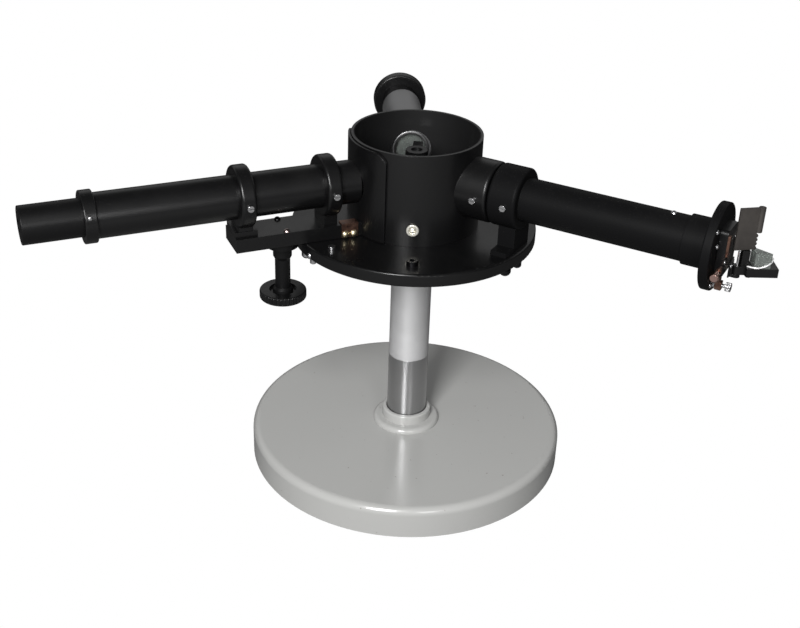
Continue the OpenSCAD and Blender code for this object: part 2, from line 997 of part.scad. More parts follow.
module prism_arm() {
    hub_r = 2.3;
    color(enamel)
        on_prism_arm()
            difference() {
                union() {
                    translate([0, 0, shelf_b - shelf_t])
                        cylinder(r = hub_r, h = shelf_t);
                    translate([0, -hub_r, shelf_b - shelf_t])
                        cube([5, 2 * hub_r, shelf_t]);
                    translate([0, 0, shelf_b - shelf_t])
                        linear_extrude(height = shelf_t)
                            polygon([[4, -5], [prism_arm_l, -5], [prism_arm_l, 5], [9, 5], [4, 3.8]]);
                    translate([1.4, -1.6, shelf_b - 1])
                        cube([4, 4.2, 10]);
                }
                translate([0, 0, shelf_b - shelf_t - 1])
                    cylinder(r = pin_r + fit, h = shelf_t + 2);
                translate([arm_knob_at, 0, shelf_b - shelf_t - 1])
                    cylinder(r = 1.25, h = 4);
            }
}

module comparison_prism() {
    color(glass)
        on_prism_arm()
            translate([7.6, -side_prism / 2, shelf_b])
                linear_extrude(height = 8.9)
                    polygon([
                        [0, 0],
                        [side_prism, 0],
                        [0, side_prism]
                    ]);
}

module arm_knob() {
    color(enamel)
        on_prism_arm()
            translate([arm_knob_at, 0, shelf_b - shelf_t])
                mirror([0, 0, 1])
                    domed_screw(2.7, 2.4, 1.2, 2.6);
}

module side_reflector() {
    plate_l = 11.2;
    plate_h = 24;
    color([0.3, 0.28, 0.27])
        on_prism_arm()
            translate([1.7, -0.3, 1.2])
                rotate([0, 0, 10]) {
                    translate([-plate_l / 2, -0.6, 0])
                        cube([plate_l, 1.2, plate_h]);
                    translate([plate_l / 2 + 1, 0, 10])
                        cylinder(r = 1.9, h = plate_h - 10);
                    for (k = [0:3])
                        translate([plate_l / 2, 0, 1 + k * 2.3])
                            rotate([90, 0, 0])
                                cylinder(r = 1.1, h = 1.2, center = true);
                }
}

module scale_tube() {
    color([0.72, 0.72, 0.73])
        on_tube(scale_ang, drum_in + 1.5)
            pipe(tube_r, tube_in, scale_out - drum_in - 1.5);
}

module scale_lens() {
    color(glass)
        on_tube(scale_ang, drum_in + 4)
            lens(tube_in - fit, lens_t, 1.1);
}

module scale_draw_tube() {
    inside = 30;
    cap_lap = 2;
    color(enamel)
        on_tube(scale_ang, scale_out - inside)
            pipe(draw_r, draw_r - draw_wall, inside + scale_draw + cap_lap);
}

module scale_cap() {
    glass_seat = 3;
    color(enamel)
        on_tube(scale_ang, scale_cap_at)
            difference() {
                soft_ring(cap_r, 1, cap_l, 1);
                translate([-1, 0, 0])
                    bar(draw_r + fit, 3);
                bar(draw_r - draw_wall, cap_l - glass_seat);
                translate([cap_l - glass_seat - e, 0, 0])
                    bar(9, glass_seat + 1);
            }
}

module scale_glass() {
    color(glass)
        on_tube(scale_ang, scale_cap_at + 2 + fit)
            bar(draw_r - draw_wall - fit, 1.6);
}

module telescope_arm() {
    color(enamel)
        rotate([0, 0, tele_ang])
            difference() {
                union() {
                    translate([0, 0, arm_z])
                        cylinder(r = arm_eye, h = arm_t);
                    translate([0, -arm_w / 2, arm_z])
                        cube([arm_l, arm_w, arm_t]);
                }
                translate([0, 0, arm_z - 1])
                    cylinder(r = pivot_r + fit, h = arm_t + 2);
                translate([drive_at, 0, arm_z - 1])
                    cylinder(r = bush_r + fit, h = arm_t - 1);
                for (s = [-1, 1])
                    translate([drive_at, s * arm_screw_a, arm_top - 5])
                        cylinder(r = 1.3, h = 6);
                for (at = clip_screw_places())
                    translate([at, arm_w / 2 - 4, arm_z + 2.4])
                        rotate([-90, 0, 0])
                            cylinder(r = 1, h = 5);
            }
}

// Distances of the clip's two screws from the pillar axis
function clip_screw_places() = [43.4, 48.6];

module inner_ring_clamp() {
    color(enamel)
        on_tube(tele_ang, ring_a)
            telescope_clamp();
}

module outer_ring_clamp() {
    color(enamel)
        on_tube(tele_ang, ring_b)
            union() {
                telescope_clamp();
                translate([-6.5, -9, arm_top - axis_z])
                    cube([13, 18, 3.5]);
            }
}

// Ring clamp of the telescope with its post down to the arm
module telescope_clamp() {
    difference() {
        clamp_body(ring_l, 8, 17, arm_top - axis_z);
        rotate([-90, 0, 0])
            cylinder(r = 1.6, h = ring_r + 1);
    }
}

// Screws of the two ring clamps and the small one of the collar
module ring_screws() {
    color(silver) {
        for (at = [ring_a, ring_b])
            on_tube(tele_ang, at)
                rotate([-90, 0, 0])
                    translate([0, 0, ring_r + 0.02])
                        slotted_screw(ring_screw_r, 1.6, 1.5, ring_r - tube_r - 0.6, 0.6);
        on_tube(tele_ang, tele_out - 2 + collar_screw_at())
            rotate([-70, 0, 0])
                translate([0, 0, collar_r + 0.02])
                    domed_screw(1.5, 1.2, 0.95, collar_r - eye_r - 0.4);
    }
}

module telescope_tube() {
    color(enamel)
        on_tube(tele_ang, tele_in)
            pipe(tube_r, tube_in, tele_out - tele_in);
}

module telescope_collar() {
    lap = 2;
    color(enamel)
        on_tube(tele_ang, tele_out - lap)
            difference() {
                soft_ring(collar_r, 1, collar_l, 0.7);
                translate([-1, 0, 0])
                    bar(ring_bore, lap + 1);
                bar(eye_r + draw_gap, collar_l + 1);
                translate([collar_screw_at(), 0, 0])
                    rotate([-70, 0, 0])
                        cylinder(r = 1, h = collar_r + 1);
            }
}

// Distance of the collar's screw from the collar's inner end
function collar_screw_at() = 4.2;

module objective_lens() {
    color(glass)
        on_tube(tele_ang, tele_in + 2)
            lens(tube_in - fit, lens_t, 1.1);
}

// Curved plate round the drum that keeps light out of the arm's slot
module shield() {
    low = disc_top + 0.6;
    side = shield_out * sin(shield_half);
    color(enamel)
        rotate([0, 0, tele_ang])
            difference() {
                intersection() {
                    translate([0, 0, low])
                        cylinder(r = shield_out, h = shield_top - low);
                    wedge(shield_half, shield_out, low - 1, shield_top + 1);
                    rotate([90, 0, 90])
                        linear_extrude(height = 2 * shield_out)
                            union() {
                                translate([-side, low - 1])
                                    square([2 * side, shield_top - shield_corner - low + 1]);
                                translate([-side + shield_corner, low - 1])
                                    square([2 * (side - shield_corner), shield_top - low + 1]);
                                for (s = [-1, 1])
                                    translate([s * (side - shield_corner), shield_top - shield_corner])
                                        circle(r = shield_corner);
                            }
                }
                cylinder(r = shield_in, h = shield_top + 1);
                translate([0, -arm_w / 2 - 0.2, 0])
                    cube([2 * drum_r, arm_w + 0.4, arm_top]);
                translate([0, 0, axis_z])
                    bar(ring_bore, 2 * drum_r);
            }
}

module shield_clip() {
    clip_t = 0.8;
    at = shield_out + seat;
    color(copper)
        rotate([0, 0, tele_ang])
            difference() {
                union() {
                    translate([at, arm_w / 2, arm_z + 0.4])
                        cube([10, clip_t, arm_t - 0.4 + clip_t]);
                    translate([at, arm_w / 2 - 5, arm_top])
                        cube([10, 5 + e, clip_t]);
                }
                for (x = clip_screw_places())
                    translate([x, arm_w / 2 - 1, arm_z + 2.4])
                        rotate([-90, 0, 0])
                            cylinder(r = 1.05, h = 5);
            }
}

module clip_screws() {
    color(brass)
        rotate([0, 0, tele_ang])
            for (x = clip_screw_places())
                translate([x, arm_w / 2 + 0.8, arm_z + 2.4])
                    rotate([-90, 0, 0])
                        domed_screw(2.4, 1.7, 0.95, 4);
}

module arm_screws() {
    color(silver)
        rotate([0, 0, tele_ang])
            for (s = [-1, 1])
                translate([drive_at, s * arm_screw_a, arm_top])
                    domed_screw(2, 1.7, 1.25, 4.8);
}

// Puts children on the drive spindle's axis
module at_drive() {
    rotate([0, 0, tele_ang])
        translate([drive_at, 0, 0])
            children();
}

module drive_bush() {
    color(brass)
        at_drive()
            translate([0, 0, arm_z])
                difference() {
                    cylinder(r = bush_r, h = arm_t - 2.2);
                    translate([0, 0, -1])
                        cylinder(r = journal_r + fit, h = arm_t);
                }
}

// Spindle with the friction wheel that rolls along the rim of the disc
module drive_spindle() {
    knob_top = knob_z + knob_h;
    pin = spindle_r - 1.5;
    color(enamel)
        at_drive()
            rotate_extrude()
                polygon([
                    [0, knob_z + 1],
                    [pin, knob_z + 1],
                    [pin, knob_top - 1.6],
                    [spindle_r + 1.6, knob_top - 1.6],
                    [spindle_r + 1.2, knob_top + 0.8],
                    [spindle_r, knob_top + 2],
                    [spindle_r, hub_z],
                    [spindle_r + 1, hub_z + 2],
                    [spindle_r + 1.1, wheel_z],
                    [wheel_r, wheel_z],
                    [wheel_r, wheel_top],
                    [journal_r, wheel_top],
                    [journal_r, arm_z + 5.5],
                    [0, arm_z + 5.5]
                ]);
}

module drive_knob() {
    grooves = 40;
    color(enamel)
        at_drive()
            translate([0, 0, knob_z])
                difference() {
                    rotate_extrude()
                        soft_rect(knob_r, knob_h, 1.1);
                    translate([0, 0, knob_h - 1.6])
                        cylinder(r = knob_r - 5.8, h = 3);
                    translate([0, 0, 1])
                        cylinder(r = spindle_r - 1.5, h = knob_h);
                    for (k = [0:grooves - 1])
                        rotate([0, 0, k * 360 / grooves])
                            translate([knob_r + 0.35, 0, -1])
                                cylinder(r = 0.7, h = knob_h + 2);
                }
}

module eyepiece_tube() {
    inside = 42;
    l = inside + collar_l - 2 + eye_out;
    color(enamel)
        on_tube(tele_ang, tele_out - inside)
            difference() {
                soft_ring(eye_r, 1, l, 0.6);
                translate([-1, 0, 0])
                    bar(eye_r - 1, l - 1);
                bar(eye_hole, l + 1);
            }
}

module field_lens() {
    color(glass)
        on_tube(tele_ang, tele_out + eye_out - 26)
            lens(eye_r - 1 - fit, lens_t, 1.2);
}

module eye_lens() {
    color(glass)
        on_tube(tele_ang, tele_out + eye_out - 4)
            lens(eye_r - 1 - fit, lens_t, 1.2);
}

base();
pillar_foot();
pillar_tube();
pillar_plug();
carrier_disc();
drum();
drum_screws();
drum_cups();
disc_screw();
stop_screws();
under_screws();
pivot_stud();
prism_table();
prism();
clamp_bridge();
clamp_screw();
collimator_post();
collimator_tube();
collimator_lens();
collimator_screws();
slit_tube();
slit_flange();
slit_plate();
flange_screws();
jaw_rails();
fixed_jaw();
sliding_jaw();
jaw_spring();
screw_bush();
slit_screw();
adjusting_tab();
adjusting_screw();
pin_bracket();
pivot_pin();
prism_arm();
comparison_prism();
arm_knob();
side_reflector();
scale_tube();
scale_lens();
scale_draw_tube();
scale_cap();
scale_glass();
telescope_arm();
inner_ring_clamp();
outer_ring_clamp();
ring_screws();
telescope_tube();
telescope_collar();
objective_lens();
shield();
shield_clip();
clip_screws();
arm_screws();
drive_bush();
drive_spindle();
drive_knob();
eyepiece_tube();
field_lens();
eye_lens();
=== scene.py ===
# %% [markdown]
# A prism spectroscope stands on a round cast base. Three tubes look into a black drum that holds the prism:
# the telescope on the left, the collimator with its slit on the right and the scale tube at the back. The
# solids come packed from the CAD source. This lesson gives them their finishes, adds the small parts that
# only a mesh shows well, and then lights and frames the whole.

# %% Load the frame
import json
import math
import bpy
import bmesh
from mathutils import Matrix, Vector


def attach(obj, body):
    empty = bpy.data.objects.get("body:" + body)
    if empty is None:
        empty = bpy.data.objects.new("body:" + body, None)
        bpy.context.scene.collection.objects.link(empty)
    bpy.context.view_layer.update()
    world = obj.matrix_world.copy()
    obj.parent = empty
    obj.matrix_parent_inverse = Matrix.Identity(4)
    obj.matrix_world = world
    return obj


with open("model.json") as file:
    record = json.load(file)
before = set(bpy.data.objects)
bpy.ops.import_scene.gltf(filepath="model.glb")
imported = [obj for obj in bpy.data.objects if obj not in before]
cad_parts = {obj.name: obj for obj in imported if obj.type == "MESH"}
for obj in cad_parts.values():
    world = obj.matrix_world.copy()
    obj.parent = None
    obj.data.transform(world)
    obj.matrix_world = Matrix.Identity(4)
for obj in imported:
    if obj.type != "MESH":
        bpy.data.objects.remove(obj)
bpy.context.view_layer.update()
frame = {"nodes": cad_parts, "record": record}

# %% [markdown]
# Everything on the instrument hangs on a few directions and heights. The tubes lie level, at one height, and
# point outwards from the pillar. A helper gives the matrix of a tube's own frame, in which X runs outwards
# along the tube and Z is up, so a piece is drawn once at the origin and then set in place.

# %% Directions and heights
MM = 0.001
TELESCOPE, COLLIMATOR, SCALE = 204.3, -27.5, 95.8
AXIS_Z = 192.7
ORIGIN = (0.0, 0.0, 0.0)
RIGHT, BACK, UP = (1.0, 0.0, 0.0), (0.0, 1.0, 0.0), (0.0, 0.0, 1.0)
LEVEL = (1.0, 1.0, 0.0)


def tube_frame(angle, at=0.0):
    turn = Matrix.Rotation(math.radians(angle), 4, "Z")
    return Matrix.Translation((0, 0, AXIS_Z * MM)) @ turn @ Matrix.Translation((at * MM, 0, 0))


def direction(angle):
    return (math.cos(math.radians(angle)), math.sin(math.radians(angle)), 0.0)


print("tubes point to:", TELESCOPE, COLLIMATOR, SCALE)

# %% [markdown]
# A finish is a small sum: a base value, plus some noise, times a mask. Written with nodes alone that is hard
# to read. The class below wraps one socket, so that the sum can be written as a sum: each operator adds the
# Math node that it stands for. Every other node comes from its add method, which takes the type, the settings
# and then what goes into the sockets.

# %% Shader sums in plain Python
class Signal:
    def __init__(self, socket):
        self.socket = socket

    def add(self, kind, settings=None, sockets=None, out=0):
        node = self.socket.id_data.nodes.new(kind)
        for key, value in (settings or {}).items():
            setattr(node, key, value)
        for key, value in (sockets or {}).items():
            if isinstance(value, Signal):
                self.socket.id_data.links.new(value.socket, node.inputs[key])
            else:
                node.inputs[key].default_value = value
        return Signal(node.outputs[out])

    def math(self, operation, other=0.0):
        return self.add("ShaderNodeMath", {"operation": operation}, {0: self, 1: other})

    def vector(self, operation, other, out=0):
        return self.add("ShaderNodeVectorMath", {"operation": operation}, {0: self, 1: other}, out)

    def sum_of(self, operation, other):
        if self.socket.type == "VECTOR":
            return self.vector(operation, other)
        return self.math(operation, other)

    def __add__(self, other):
        return self.sum_of("ADD", other)

    def __sub__(self, other):
        return self.sum_of("SUBTRACT", other)

    def __rsub__(self, other):
        return (self * -1.0) + other

    def __mul__(self, other):
        return self.sum_of("MULTIPLY", other)

    __radd__ = __add__
    __rmul__ = __mul__

    def blend(self, low, high):
        low = low if isinstance(low, Signal) else (*low, 1.0)
        high = high if isinstance(high, Signal) else (*high, 1.0)
        return self.add("ShaderNodeMix", {"data_type": "RGBA"}, {0: self, 6: low, 7: high}, out=2)

    def reach(self, point):
        return self.vector("DISTANCE", point, out="Value")

    def along(self, way):
        return self.vector("DOT_PRODUCT", way, out="Value")

    def noise(self, scale, detail=3.0, rough=0.5):
        sockets = {"Vector": self, "Scale": scale, "Detail": detail, "Roughness": rough}
        return self.add("ShaderNodeTexNoise", None, sockets)

    def fade(self, low, high, to_low=0.0, to_high=1.0):
        sockets = {0: self, 1: low, 2: high, 3: to_low, 4: to_high}
        return self.add("ShaderNodeMapRange", {"clamp": True}, sockets)


def connect(value, node, name):
    node.id_data.links.new(value.socket, node.inputs[name])


# %% [markdown]
# One function opens a finish: it makes the material, sets the numbers that are the same all over on the
# shader itself, and hands back the object's coordinates to build on. A second one closes it, with the colour,
# the roughness and the small height that the light should catch. A rounded normal softens the machined edges,
# as paint and polishing do on the real parts.

# %% Open and close a finish
def open_finish(name, **numbers):
    material = bpy.data.materials.new(name)
    material.use_nodes = True
    shader = material.node_tree.nodes["Principled BSDF"]
    for key, value in numbers.items():
        shader.inputs[key.replace("_", " ")].default_value = value
    return material, shader, Signal(shader.outputs[0]).add("ShaderNodeTexCoord", out="Object")


def close_finish(shader, place, height, depth, edge=0.0, **links):
    sockets = {"Height": height, "Distance": depth * MM, "Strength": 1.0}
    if edge:
        sockets["Normal"] = place.add("ShaderNodeBevel", {"samples": 4}, {"Radius": edge * MM})
    links["Normal"] = place.add("ShaderNodeBump", None, sockets)
    for key, value in links.items():
        connect(value, shader, key.replace("_", " "))


FINISH = {}

# %% [markdown]
# The tubes, the drum and the disc wear a satin black enamel. It is nearly black, and what the eye sees of it
# is mostly reflection, so its surface matters more than its colour: a very shallow orange peel, faint wiping
# marks that change the gloss, and a little pale dust on what faces up. The drum is duller inside, where its
# matt wall swallows stray light. A knurled head is the same enamel with ridges round its rim, which go in as
# a height, because they are far too fine to model.

# %% Satin black enamel
def black_enamel(name, gloss, dust, edge=0.35, matte_in=0.0, knurl=None, shine=0.28, coat=0.15,
                 base=0.0034):
    numbers = {"Specular_IOR_Level": shine, "Coat_Weight": coat, "Coat_Roughness": 0.16}
    material, shader, place = open_finish(name, **numbers)
    up = place.add("ShaderNodeNewGeometry", out="Normal").along(UP).fade(0.2, 0.95)
    wiped = place.noise(28.0, 4.0, 0.6)
    peel = place.noise(1500.0, 1.0)
    specks = place.noise(2600.0, 2.0, 0.7).fade(0.69, 0.74)
    dusty = (specks * up * dust).math("MAXIMUM", wiped.fade(0.5, 0.8) * up * (dust * 0.035))
    colour = dusty.blend((base, base, base * 1.06), (0.16, 0.156, 0.15))
    rough = wiped.fade(0.3, 0.75, gloss, gloss + 0.1) + dusty * 0.3
    if matte_in:
        out = (place * LEVEL).reach(ORIGIN)
        inside = out.fade(matte_in * MM, (matte_in + 0.3) * MM, 1.0, 0.0)
        rough = rough + inside * 0.35
    if knurl:
        centre, count, rim = knurl
        arm = place - centre
        turn = arm.along(BACK).math("ARCTAN2", arm.along(RIGHT))
        ridge = (turn * count).math("SINE") * (arm * LEVEL).reach(ORIGIN).fade(rim * 0.95, rim * 0.97)
        peel = peel + ridge * 8.0
    close_finish(shader, place, peel, 0.012, edge, Base_Color=colour, Roughness=rough)
    return material


def knurled_black(node, count):
    box = [Vector(corner) for corner in frame["nodes"][node].bound_box]
    middle = sum(box, Vector()) / 8.0
    rim = (max(corner.x for corner in box) - min(corner.x for corner in box)) / 2.0
    return black_enamel(node + "_knurled", 0.32, 0.4, 0.2, knurl=(tuple(middle), count, rim))


FINISH["drum_black"] = black_enamel("drum_black", 0.27, 0.5, matte_in=37.2)
for node, count in (("drive_knob", 72), ("arm_knob", 20), ("clamp_screw", 48)):
    FINISH[node] = knurled_black(node, count)
FINISH["black_enamel"] = black_enamel("satin_black_enamel", 0.27, 0.5)
FINISH["draw_black"] = black_enamel("semi_gloss_black", 0.38, 0.25, 0.2, shine=0.17, coat=0.03)
# The collimator's copy shines less, and its base colour is a little lighter: painted light that stands in for
# the fill the floor in front throws onto its lower side.
FINISH["matte_black"] = black_enamel("satin_black_of_the_collimator_with_painted_fill", 0.42, 0.5, shine=0.045, coat=0.0,
                                     base=0.005)
print("black finishes made")

# %% [markdown]
# The cast base is sprayed with a light grey stove enamel. It is glossy enough to mirror the pillar. The
# casting below was ground by hand, so the surface rolls very slightly, and a few pinholes and grains of dirt
# are caught in the paint. On the left its edge has one pale chip, where the filler shows.

# %% Glossy grey enamel
material, shader, place = open_finish("grey_stove_enamel", Coat_Weight=0.2, Coat_Roughness=0.12)
rolling = place.noise(16.0, 2.0)
grain = place.noise(900.0, 2.0)
grit = place.noise(420.0, 1.0).fade(0.775, 0.8)
shade = place.noise(9.0, 3.0)
colour = shade.blend((0.37, 0.37, 0.36), (0.405, 0.405, 0.395))
colour = grit.blend(colour, (0.2, 0.19, 0.17))
chip_at = (-0.0992, -0.009, 0.0165)
chip = (place.reach(chip_at) + place.noise(700.0) * 0.002).fade(0.0022, 0.0026, 1.0, 0.0)
colour = chip.blend(colour, (0.62, 0.6, 0.56))
rough = rolling.fade(0.3, 0.7, 0.16, 0.22) + grit * 0.3 + chip * 0.4
height = rolling * 8.0 + grain * 0.15 + grit * 0.5 - chip * 6.0
close_finish(shader, place, height, 0.02, Base_Color=colour, Roughness=rough)
FINISH["grey_enamel"] = material
print("grey enamel nodes:", len(material.node_tree.nodes))

# %% [markdown]
# Turned metal carries rings that run round its axis. A noise of one dimension gives them: its coordinate runs
# fast along the axis and not at all round it. On the pillar the rings are so fine that they only draw the
# highlight out, and an anisotropic sheen adds to that. The metal itself is a little cloudy, as handled metal
# is. A few screws sit in the shade in the photograph and look black, so their finish takes a mask that says
# on which side the bright ones are.

# %% Turned metal
def turned_metal(name, colour, rough, axis, rings=9000.0, depth=0.006, brushed=0.0, metal=1.0, stain=0.12,
                 lit=None):
    numbers = {"Metallic": metal, "Anisotropic": brushed, "Anisotropic_Rotation": 0.25}
    material, shader, place = open_finish(name, **numbers)
    ring = place.add("ShaderNodeTexNoise", {"noise_dimensions": "1D"}, {"W": place.along(axis) * rings})
    cloud = place.noise(45.0, 4.0, 0.6)
    fine = place.noise(700.0, 2.0)
    dark = tuple(c * (1.0 - stain) for c in colour)
    tone = (cloud * 0.7 + ring * 0.3).fade(0.35, 0.65).blend(dark, colour)
    blur = cloud.fade(0.3, 0.7, rough * 0.9, rough * 1.15) + fine * 0.03
    # painted shade: where the mask marks a screw as shaded, its metal tone gives way to a near-black colour
    if lit:
        tone = lit(place).blend((0.03, 0.03, 0.032), tone)
    close_finish(shader, place, ring, depth, 0.2, Base_Color=tone, Roughness=blur)
    return material


def on_the_left(place):
    return place.along(RIGHT).fade(0.0, 0.01, 1.0, 0.0)


def on_the_near_side(place):
    return place.along(direction(TELESCOPE + 90)).fade(-0.001, 0.001)


def small_metal(name, colour=(0.62, 0.62, 0.63), rough=0.24, metal=1.0, lit=None):
    return turned_metal(name, colour, rough, UP, 3000.0, metal=metal, lit=lit)


across_slit = direction(COLLIMATOR + 90)
FINISH["satin_aluminium"] = turned_metal("satin_aluminium", (0.58, 0.58, 0.585), 0.48, UP, brushed=0.5,
                                         metal=0.5)
FINISH["polished_steel"] = turned_metal("polished_steel", (0.45, 0.45, 0.455), 0.31, UP, 1500.0, 0.0008,
                                        brushed=0.5)
FINISH["scale_tube_satin"] = turned_metal("satin_scale_tube", (0.38, 0.38, 0.385), 0.42, direction(SCALE))
FINISH["bright_screws"] = small_metal("bright_plated_screws", rough=0.2)
# painted shade: the screws below the disc on the right and the arm's far screw are coloured near black
FINISH["under_screws"] = small_metal("screws_below_the_disc", lit=on_the_left)
FINISH["arm_screws"] = small_metal("screws_of_the_arm", (0.62, 0.5, 0.48), 0.22, lit=on_the_near_side)
FINISH["drum_screws"] = small_metal("screws_of_the_drum", (0.8, 0.78, 0.7), 0.38, 0.8)
FINISH["wire"] = small_metal("bright_wire", (0.9, 0.9, 0.9), 0.4, 0.6)
FINISH["dark_screws"] = small_metal("blackened_screws", (0.035, 0.035, 0.038), 0.35)
# The slit's jaws and their rails take a near-black steel colour.
FINISH["jaw_steel"] = turned_metal("dark_jaw_steel", (0.09, 0.085, 0.08), 0.3, across_slit)
FINISH["rosy_metal"] = turned_metal("rosy_polished_metal", (0.5, 0.33, 0.29), 0.2, across_slit, 2500.0)
FINISH["brass"] = turned_metal("plain_brass", (0.72, 0.62, 0.42), 0.28, direction(TELESCOPE + 90))
FINISH["grey_plate"] = turned_metal("dull_brown_grey_plate", (0.082, 0.074, 0.068), 0.5, UP, 2500.0,
                                    metal=0.6, stain=0.5)
print("metal finishes made")

# %% [markdown]
# The small parts at the slit and the clip at the shield's foot look like copper under a tired brown lacquer:
# warm and bright on the edges, darker and patchy on the flats. One noise drives colour and roughness alike,
# so the pale patches are also the duller ones.

# %% Lacquered copper
material, shader, place = open_finish("lacquered_copper", Metallic=0.85)
patch = place.noise(260.0, 4.0, 0.65)
tone = patch.fade(0.35, 0.65).blend((0.085, 0.045, 0.034), (0.22, 0.125, 0.092))
close_finish(shader, place, patch, 0.03, 0.25, Base_Color=tone, Roughness=patch.fade(0.3, 0.7, 0.24, 0.42))
FINISH["copper"] = material
print("copper nodes:", len(material.node_tree.nodes))

# %% [markdown]
# The lenses and prisms are clear polished glass. The glass keeps faint dust and wiping streaks, so that it
# doesn't vanish. The comparison prism and the lens in the scale tube look milky in the photograph, so they
# are ground: part of their light is scattered and the rest goes through.

# %% Optical glass
material, shader, place = open_finish("optical_glass", IOR=1.56, Transmission_Weight=1.0)
streak = place.noise(60.0, 5.0, 0.7)
tone = streak.blend((0.9, 0.96, 0.95), (0.97, 1.0, 0.99))
close_finish(shader, place, streak, 0.002, 0.25, Base_Color=tone, Roughness=streak.fade(0.5, 0.8, 0.01, 0.09))
FINISH["optical_glass"] = material

material, shader, place = open_finish("ground_glass", IOR=1.5, Transmission_Weight=0.8)
frost = place.noise(420.0, 4.0, 0.7)
tone = frost.blend((0.28, 0.31, 0.29), (0.6, 0.65, 0.61))
close_finish(shader, place, frost, 0.02, 0.3, Base_Color=tone, Roughness=frost.fade(0.3, 0.7, 0.22, 0.4))
FINISH["comparison_prism"] = FINISH["scale_lens"] = material
print("finishes:", len(FINISH))

# %% [markdown]
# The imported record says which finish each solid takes. A few take one of their own. The scale tube is satin
# metal like the pillar, but its rings run round its own axis, so it gets the version that was made for that
# direction.

# %% Dress the solids
slots = {row["node"]: row["material_slot"] for row in frame["record"]["subparts"]}
own_finish = {"scale_tube": "scale_tube_satin", "drum": "drum_black", "drum_cups": "drum_screws"}
for name in ("collimator_tube", "slit_tube", "slit_flange", "collimator_post"):
    own_finish[name] = "matte_black"
for name, node in frame["nodes"].items():
    finish = FINISH[own_finish.get(name, name if name in FINISH else slots[name])]
    for k in range(max(1, len(node.material_slots))):
        if node.material_slots:
            node.material_slots[k].material = finish
        else:
            node.data.materials.append(finish)
print("dressed:", len(frame["nodes"]))

# %% [markdown]
# Some thin parts show better as a mesh than as a machined solid. Each is drawn in code from a short list of
# points: loops of points are made one after the other, and the faces between two neighbouring loops close the
# skin. Every piece gets its place, its finish and the body that it rides on, so that it moves with the
# joints.

# %% Add a mesh piece
def add_piece(name, shape, matrix, finish, body):
    mesh = bpy.data.meshes.new(name)
    bmesh.ops.recalc_face_normals(shape, faces=shape.faces)
    for face in shape.faces:
        face.smooth = True
    shape.to_mesh(mesh)
    shape.free()
    mesh.materials.append(FINISH[finish])
    piece = bpy.data.objects.new(name, mesh)
    piece.matrix_world = matrix
    bpy.context.scene.collection.objects.link(piece)
    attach(piece, body)
    return piece


def bridge(shape, loops):
    count = len(loops[0])
    for a, b in zip(loops, loops[1:]):
        for k in range(count):
            shape.faces.new((a[k], a[(k + 1) % count], b[(k + 1) % count], b[k]))


# %% [markdown]
# A thin threaded ring holds each lens in its tube, and its edge shows as a bright line in the tube's mouth.
# It could be a solid, but no more of it is ever seen. Here its outline is turned round the tube's axis, as a
# lathe would do it. The telescope's tube begins a little further out than the others, and so does its ring.

# %% Retaining rings of the lenses
def turned_ring(name, outline, matrix, finish, body, steps=96):
    shape = bmesh.new()
    loops = []
    for k in range(steps):
        turn = 2.0 * math.pi * k / steps
        across, up = MM * math.cos(turn), MM * math.sin(turn)
        loops.append([shape.verts.new((x * MM, r * across, r * up)) for x, r in outline])
    bridge(shape, loops + loops[:1])
    return add_piece(name, shape, matrix, finish, body)


outline = [(38.7, 11.1), (38.9, 11.4), (40.4, 11.4), (40.4, 9.2), (39.6, 8.9), (38.7, 9.3)]
rings = (("scale", SCALE, 0.0, "polished_steel", "stand"),
         ("collimator", COLLIMATOR, 0.0, "polished_steel", "stand"),
         ("telescope", TELESCOPE, 0.7, "bright_screws", "telescope"))
for tube, angle, out, finish, body in rings:
    moved = [(x + out, r) for x, r in outline]
    ring = turned_ring(tube + "_lens_ring", moved, tube_frame(angle), finish, body)
    print(ring.name, "faces:", len(ring.data.polygons))

# %% [markdown]
# The comparison prism beside the slit is held by a bent spring wire. It starts at the arm's hub, lies along
# the prism's foot and climbs round its corner. A curve object could carry it, but a mesh made here keeps its
# ends neat: a smooth line runs through seven bends, and a small circle is carried along it.

# %% Smooth line through the bends
def smooth_line(path, between=8):
    points = [Vector(p) for p in path]
    points = [points[0] * 2 - points[1]] + points + [points[-1] * 2 - points[-2]]
    line = []
    for a, b, c, d in zip(points, points[1:], points[2:], points[3:]):
        for k in range(between):
            t = k / between
            square = (a * 2 - b * 5 + c * 4 - d) * t ** 2
            cube = (b * 3 - a - c * 3 + d) * t ** 3
            line.append((b * 2 + (c - a) * t + square + cube) * 0.5)
    return line + [points[-2]]


# %% [markdown]
# The circle stands square to the line at every step. It is smaller at both ends, which rounds the cut wire.

# %% Spring wire of the comparison prism
def bent_wire(name, path, radius, matrix, finish, body, sides=12):
    line = smooth_line(path)
    last = len(line) - 1
    shape = bmesh.new()
    loops = []
    for k, here in enumerate(line):
        ahead = (line[min(k + 1, last)] - line[max(k - 1, 0)]).normalized()
        out = ahead.cross(Vector(UP)).normalized()
        lift = out.cross(ahead)
        r = radius * (0.6 if k in (0, last) else 1.0)
        turns = [2.0 * math.pi * j / sides for j in range(sides)]
        circle = [here + (out * math.cos(u) + lift * math.sin(u)) * r for u in turns]
        loops.append([shape.verts.new(point * MM) for point in circle])
    bridge(shape, loops)
    shape.faces.new(loops[0])
    shape.faces.new(loops[-1])
    return add_piece(name, shape, matrix, finish, body)


ARM_AT, ARM_TURN = 194.5, 30.0
prism_arm = tube_frame(COLLIMATOR, ARM_AT) @ Matrix.Rotation(math.radians(ARM_TURN), 4, "Z")
bends = [(4.4, -2.2, -7.6), (6.2, -3.6, -7.5), (8.5, -4.95, -7.3), (11, -5.05, -7.0),
         (14.5, -4.95, -5.6), (17.2, -3.3, -4.0), (17.7, -1.7, -2.6)]
wire = bent_wire("prism_spring", bends, 0.5, prism_arm, "wire", "comparison_arm")
print("spring wire faces:", len(wire.data.polygons))

# %% [markdown]
# The glass in the scale tube's cap carries the scale itself: fine dark lines, with a longer one at every
# fifth and the longest at every tenth. On the real glass they are a photograph on its inner face. Thin raised
# bars give the same look from any side and need no picture.

